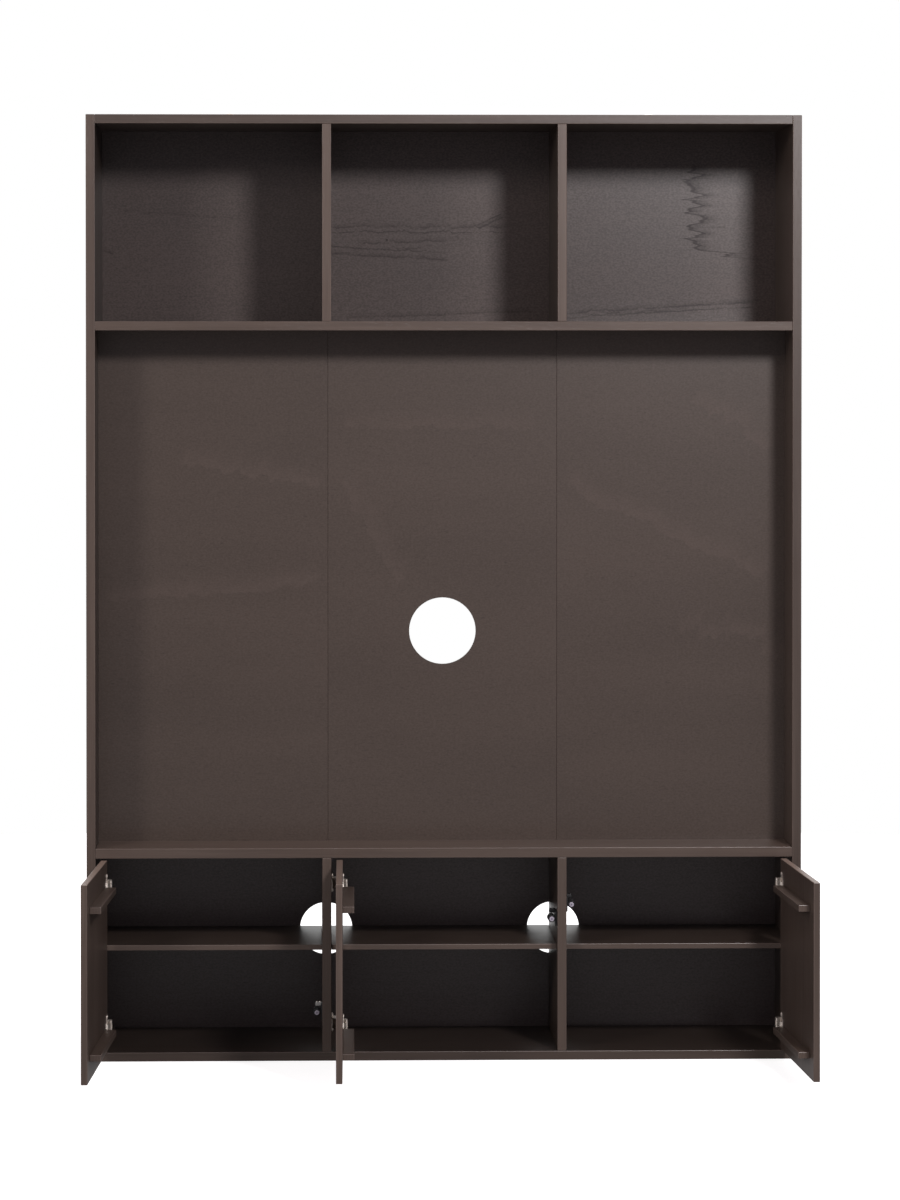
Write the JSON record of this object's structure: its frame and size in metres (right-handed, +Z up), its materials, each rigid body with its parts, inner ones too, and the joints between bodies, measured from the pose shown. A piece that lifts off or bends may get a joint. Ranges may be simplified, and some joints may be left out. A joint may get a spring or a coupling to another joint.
{
  "type": "tv wall cabinet",
  "caption": "Tall wooden TV wall cabinet: open compartments on top, a large TV niche with a cable hole, and inset push-to-open doors below.",
  "frame": {"origin": "centre of the carcass's footprint, on the floor", "axes": "+X to the right as seen from the front, +Y from the doors to the wall, +Z up"},
  "size_m": [1.588, 0.9191, 2.1227],
  "materials": {
    "stained_pine": "satin",
    "stained_back": "satin",
    "nickel_plate": "polished",
    "black_plastic": "matte",
    "grey_plastic": "satin"
  },
  "bodies": {
    "carcass": {"bottom_panel": "stained_pine", "hinge_arm_centre_lower": "nickel_plate", "hinge_arm_centre_upper": "nickel_plate", "hinge_arm_left_lower": "nickel_plate", "hinge_arm_left_upper": "nickel_plate", "hinge_arm_right_lower": "nickel_plate", "hinge_arm_right_upper": "nickel_plate", "latch_housing_centre": "black_plastic", "latch_housing_left": "black_plastic", "latch_housing_right": "black_plastic", "lower_back": "stained_back", "lower_divider_left": "stained_pine", "lower_divider_right": "stained_pine", "mid_shelf_centre": "stained_pine", "mid_shelf_left": "stained_pine", "mid_shelf_right": "stained_pine", "niche_back_centre": "stained_back", "niche_back_left": "stained_back", "niche_back_right": "stained_back", "niche_shelf": "stained_pine", "niche_stile_left": "stained_back", "niche_stile_right": "stained_back", "side_panel_left": "stained_pine", "side_panel_right": "stained_pine", "top_panel": "stained_pine", "upper_back_centre": "stained_back", "upper_back_left": "stained_back", "upper_back_right": "stained_back", "upper_divider_left": "stained_pine", "upper_divider_right": "stained_pine", "upper_shelf": "stained_pine", "wall_bracket_left": "nickel_plate", "wall_bracket_right": "nickel_plate"},
    "links_left": {"hinge_link_left_lower": "nickel_plate", "hinge_link_left_upper": "nickel_plate"},
    "door_left": {"batten_left_lower": "stained_pine", "batten_left_upper": "stained_pine", "door_left": "stained_pine", "hinge_cup_left_lower": "nickel_plate", "hinge_cup_left_upper": "nickel_plate"},
    "plunger_left": {"latch_plunger_left": "grey_plastic"},
    "links_centre": {"hinge_link_centre_lower": "nickel_plate", "hinge_link_centre_upper": "nickel_plate"},
    "door_centre": {"batten_centre_lower": "stained_pine", "batten_centre_upper": "stained_pine", "door_centre": "stained_pine", "hinge_cup_centre_lower": "nickel_plate", "hinge_cup_centre_upper": "nickel_plate"},
    "plunger_centre": {"latch_plunger_centre": "grey_plastic"},
    "links_right": {"hinge_link_right_lower": "nickel_plate", "hinge_link_right_upper": "nickel_plate"},
    "door_right": {"batten_right_lower": "stained_pine", "batten_right_upper": "stained_pine", "door_right": "stained_pine", "hinge_cup_right_lower": "nickel_plate", "hinge_cup_right_upper": "nickel_plate"},
    "plunger_right": {"latch_plunger_right": "grey_plastic"}
  },
  "joints": [
    {"name": "hinge_links_left", "type": "hinge", "parent": "carcass", "child": "links_left", "pos_m": [-0.7412, -0.2033, 0.2355], "axis": [0, 0, 1], "range_deg": [-66.42, 5.39]},
    {"name": "door_swing_left", "type": "hinge", "parent": "links_left", "child": "door_left", "pos_m": [-0.75248, -0.2214, 0.2355], "axis": [0, 0, -1], "range_deg": [-158.91, 12.88]},
    {"name": "hinge_links_centre", "type": "hinge", "parent": "carcass", "child": "links_centre", "pos_m": [-0.21853, -0.2033, 0.2355], "axis": [0, 0, 1], "range_deg": [-64.98, 6.82]},
    {"name": "door_swing_centre", "type": "hinge", "parent": "links_centre", "child": "door_centre", "pos_m": [-0.23027, -0.22111, 0.2355], "axis": [0, 0, -1], "range_deg": [-155.48, 16.32]},
    {"name": "hinge_links_right", "type": "hinge", "parent": "carcass", "child": "links_right", "pos_m": [0.7412, -0.2033, 0.2355], "axis": [0, 0, -1], "range_deg": [-66.42, 5.39]},
    {"name": "door_swing_right", "type": "hinge", "parent": "links_right", "child": "door_right", "pos_m": [0.75248, -0.2214, 0.2355], "axis": [0, 0, 1], "range_deg": [-158.91, 12.88]},
    {"name": "latch_push_left", "type": "slide", "parent": "carcass", "child": "plunger_left", "axis": [0, -1, 0], "range_m": [0, 0.01], "stiffness_N_per_m": 20},
    {"name": "latch_push_centre", "type": "slide", "parent": "carcass", "child": "plunger_centre", "axis": [0, -1, 0], "range_m": [0, 0.01], "stiffness_N_per_m": 20},
    {"name": "latch_push_right", "type": "slide", "parent": "carcass", "child": "plunger_right", "axis": [0, -1, 0], "range_m": [0, 0.01], "stiffness_N_per_m": 20}
  ],
  "couplings": [
    {"joint": "hinge_links_left", "follows": "door_swing_left", "ratio": 0.41793},
    {"joint": "hinge_links_centre", "follows": "door_swing_centre", "ratio": 0.41793},
    {"joint": "hinge_links_right", "follows": "door_swing_right", "ratio": 0.41793}
  ]
}
